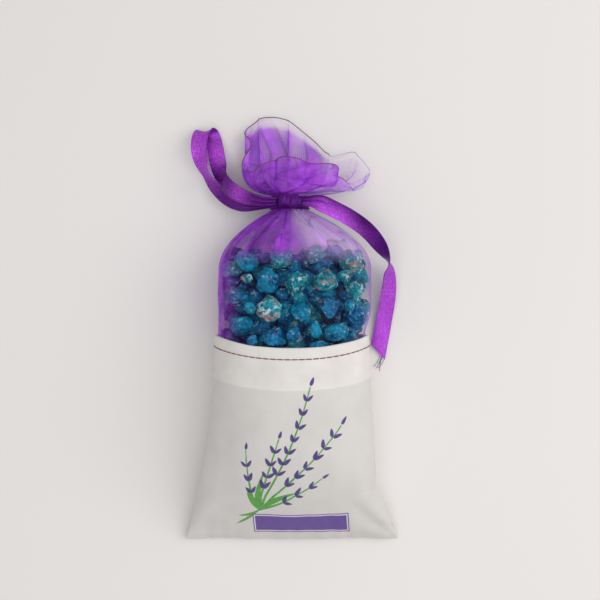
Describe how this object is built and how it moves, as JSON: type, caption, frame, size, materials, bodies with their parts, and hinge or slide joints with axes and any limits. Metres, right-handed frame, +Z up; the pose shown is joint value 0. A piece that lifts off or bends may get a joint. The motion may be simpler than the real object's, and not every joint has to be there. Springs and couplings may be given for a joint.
{
  "type": "lavender sachet",
  "caption": "Filled scent sachet lying flat: hemmed cotton pocket, sheer gathered organza top tied with satin ribbon, loose granules inside.",
  "frame": {"origin": "on the table under the middle of the bag, the ribbon loop and tail left out", "axes": "+Y from the bottom seam to the mouth, +Z up out of the printed front, +X to the right of the print"},
  "size_m": [0.0798, 0.1566, 0.0397],
  "materials": {
    "cotton": "plain weave",
    "organza": "sheer",
    "white_thread": "matte",
    "purple_thread": "matte",
    "brown_thread": "matte",
    "satin_ribbon": "satin",
    "granule_teal": "dyed, slightly glossy",
    "granule_white": "matte",
    "granule_copper": "matte"
  },
  "bodies": {
    "root": {"cotton_back_panel": "cotton", "cotton_bottom_seam": "white_thread", "cotton_front_panel": "cotton", "cotton_left_seam": "white_thread", "cotton_right_seam": "white_thread", "granule_01": "granule_teal", "granule_02": "granule_teal", "granule_03": "granule_teal", "granule_04": "granule_teal", "granule_05": "granule_copper", "granule_06": "granule_teal", "granule_07": "granule_teal", "granule_08": "granule_white", "granule_09": "granule_teal", "granule_10": "granule_teal", "granule_11": "granule_teal", "granule_12": "granule_teal", "granule_13": "granule_copper", "granule_14": "granule_teal", "granule_15": "granule_teal", "granule_16": "granule_white", "granule_17": "granule_teal", "granule_18": "granule_teal", "granule_19": "granule_teal", "granule_20": "granule_teal", "granule_21": "granule_copper", "granule_22": "granule_teal", "granule_23": "granule_teal", "granule_24": "granule_teal", "granule_25": "granule_teal", "granule_26": "granule_copper", "granule_27": "granule_teal", "granule_28": "granule_teal", "granule_29": "granule_white", "granule_30": "granule_teal", "granule_31": "granule_teal", "granule_32": "granule_teal", "granule_33": "granule_teal", "granule_34": "granule_copper", "granule_35": "granule_teal", "granule_36": "granule_teal", "granule_37": "granule_white", "granule_38": "granule_teal", "granule_core": "granule_teal", "hem_stitch_back": "brown_thread", "hem_stitch_front": "brown_thread", "mouth_edging_back": "brown_thread", "mouth_edging_front": "brown_thread", "organza_back_panel": "organza", "organza_front_panel": "organza", "organza_left_seam": "purple_thread", "organza_right_seam": "purple_thread", "ribbon_knot": "satin_ribbon", "ribbon_loop": "satin_ribbon", "ribbon_neck_wrap": "satin_ribbon", "ribbon_tail": "satin_ribbon"}
  },
  "joints": []
}
